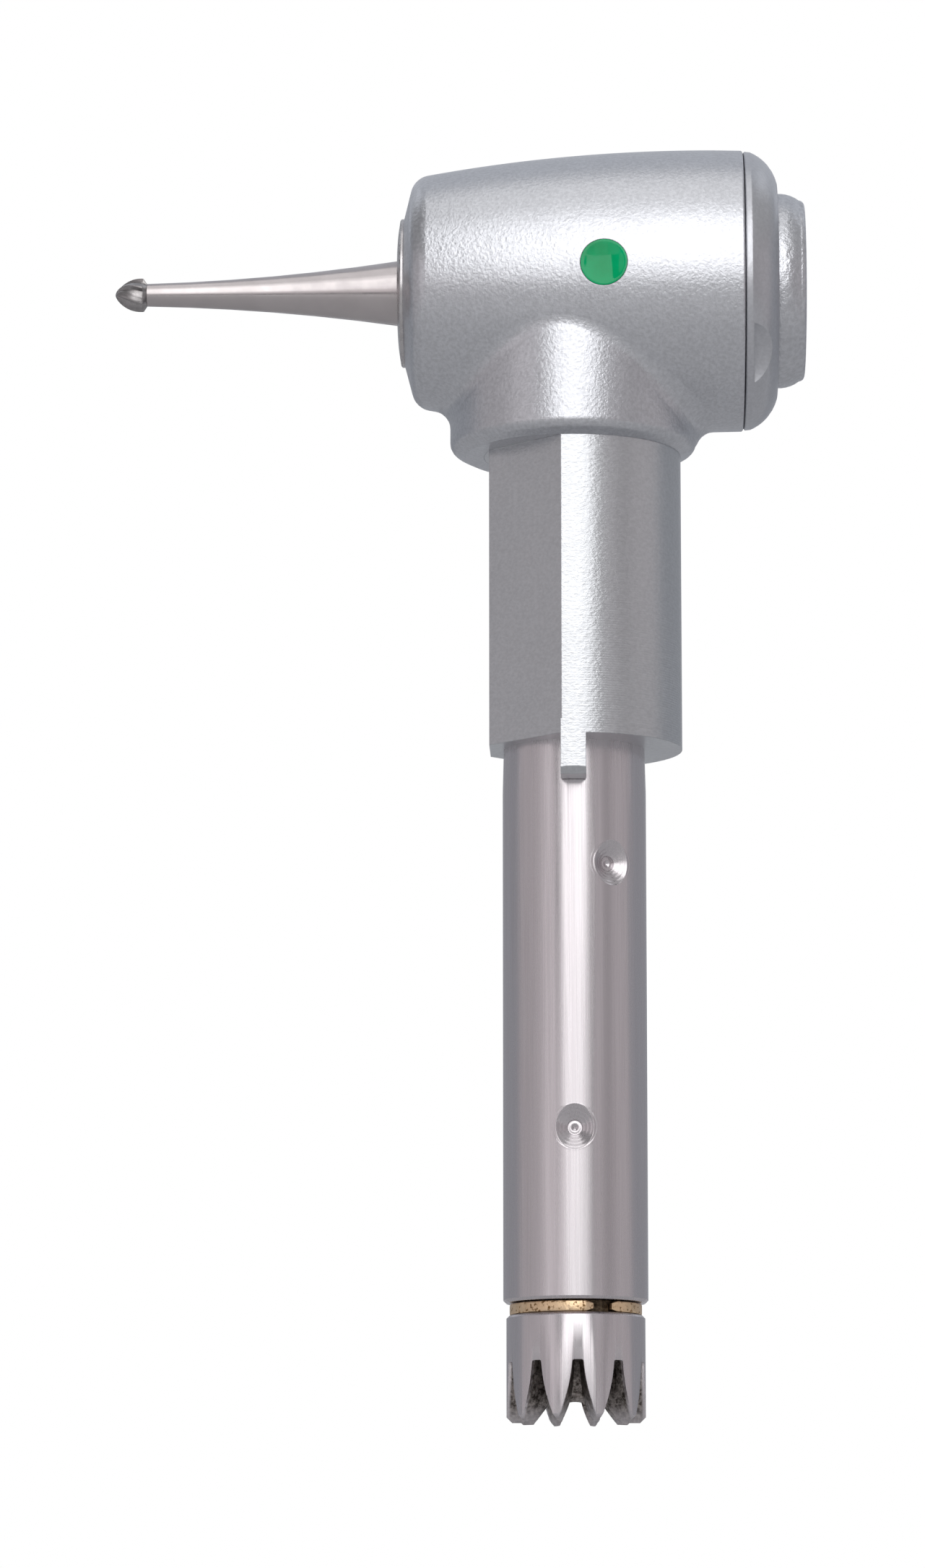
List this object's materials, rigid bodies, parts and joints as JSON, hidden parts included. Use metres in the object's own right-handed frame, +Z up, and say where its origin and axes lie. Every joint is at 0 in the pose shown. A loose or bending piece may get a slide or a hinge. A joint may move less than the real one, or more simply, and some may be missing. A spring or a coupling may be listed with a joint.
{
  "type": "contra-angle head cartridge",
  "caption": "Push-button dental contra-angle head on a drive tube, with a latch-type round bur, a flat-sided locating sleeve, a geared spindle and a crown coupling at its foot.",
  "frame": {"origin": "on the guide tube's axis, at the locating sleeve's lower shoulder, where the head seats in a handpiece", "axes": "+Z up the tube towards the head, -X towards the bur's tip, +X towards the push button, -Y the side with the colour mark"},
  "size_m": [0.025, 0.0102, 0.0458],
  "materials": {
    "satin_steel": "bead-blasted satin",
    "tube_steel": "polished lengthwise, slightly warm",
    "ground_steel": "fine ground",
    "bur_steel": "polished",
    "carbide": "ground carbide",
    "brass": "tarnished",
    "green_enamel": "gloss enamel",
    "cage_resin": "matte",
    "spring_steel": "drawn wire"
  },
  "bodies": {
    "housing": {"head_housing": "satin_steel", "locating_sleeve": "satin_steel", "guide_tube": "tube_steel", "front_cover": "satin_steel", "end_cap": "satin_steel", "colour_dot": "green_enamel", "preload_washer": "spring_steel", "spacer_sleeve": "ground_steel", "bearing_retainer": "ground_steel", "front_outer_race": "ground_steel", "rear_outer_race": "ground_steel", "upper_outer_race": "ground_steel", "lower_outer_race": "ground_steel"},
    "drive_train": {"drive_shaft": "ground_steel", "drive_pinion": "ground_steel", "crown_gear": "tube_steel", "split_ring": "brass", "upper_inner_race": "ground_steel", "lower_inner_race": "ground_steel"},
    "spindle_unit": {"spindle": "ground_steel", "spindle_gear": "ground_steel", "collet": "ground_steel", "drive_key": "ground_steel", "front_inner_race": "ground_steel", "rear_inner_race": "ground_steel"},
    "front_ball_set": {"front_balls": "ground_steel", "front_cage": "cage_resin"},
    "rear_ball_set": {"rear_balls": "ground_steel", "rear_cage": "cage_resin"},
    "upper_ball_set": {"upper_balls": "ground_steel", "upper_cage": "cage_resin"},
    "lower_ball_set": {"lower_balls": "ground_steel", "lower_cage": "cage_resin"},
    "bur": {"bur_shank": "bur_steel", "bur_head": "carbide"},
    "button": {"push_button": "satin_steel", "button_plunger": "ground_steel", "button_spring": "spring_steel"}
  },
  "joints": [
    {"name": "drive_spin", "type": "hinge", "parent": "housing", "child": "drive_train", "pos_m": [0, 0, 0], "axis": [0, 0, 1], "continuous": true},
    {"name": "spindle_spin", "type": "hinge", "parent": "housing", "child": "spindle_unit", "pos_m": [0, 0, 0.0168], "axis": [1, 0, 0], "continuous": true},
    {"name": "front_balls_orbit", "type": "hinge", "parent": "housing", "child": "front_ball_set", "pos_m": [-0.00415, 0, 0.0168], "axis": [1, 0, 0], "continuous": true},
    {"name": "rear_balls_orbit", "type": "hinge", "parent": "housing", "child": "rear_ball_set", "pos_m": [0.0038, 0, 0.0168], "axis": [1, 0, 0], "continuous": true},
    {"name": "upper_balls_orbit", "type": "hinge", "parent": "housing", "child": "upper_ball_set", "pos_m": [0, 0, 0.0113], "axis": [0, 0, 1], "continuous": true},
    {"name": "lower_balls_orbit", "type": "hinge", "parent": "housing", "child": "lower_ball_set", "pos_m": [0, 0, -0.0187], "axis": [0, 0, 1], "continuous": true},
    {"name": "bur_withdraw", "type": "slide", "parent": "spindle_unit", "child": "bur", "axis": [-1, 0, 0], "range_m": [0, 0.0105]},
    {"name": "button_press", "type": "slide", "parent": "housing", "child": "button", "axis": [-1, 0, 0], "range_m": [0, 0.00075], "stiffness_N_per_m": 3000, "springref_m": -0.0005, "deforming": ["button_spring"]}
  ],
  "couplings": [
    {"joint": "spindle_spin", "follows": "drive_spin", "ratio": 0.37037},
    {"joint": "front_balls_orbit", "follows": "drive_spin", "ratio": 0.15661},
    {"joint": "rear_balls_orbit", "follows": "drive_spin", "ratio": 0.15661},
    {"joint": "upper_balls_orbit", "follows": "drive_spin", "ratio": 0.37143},
    {"joint": "lower_balls_orbit", "follows": "drive_spin", "ratio": 0.37143}
  ]
}
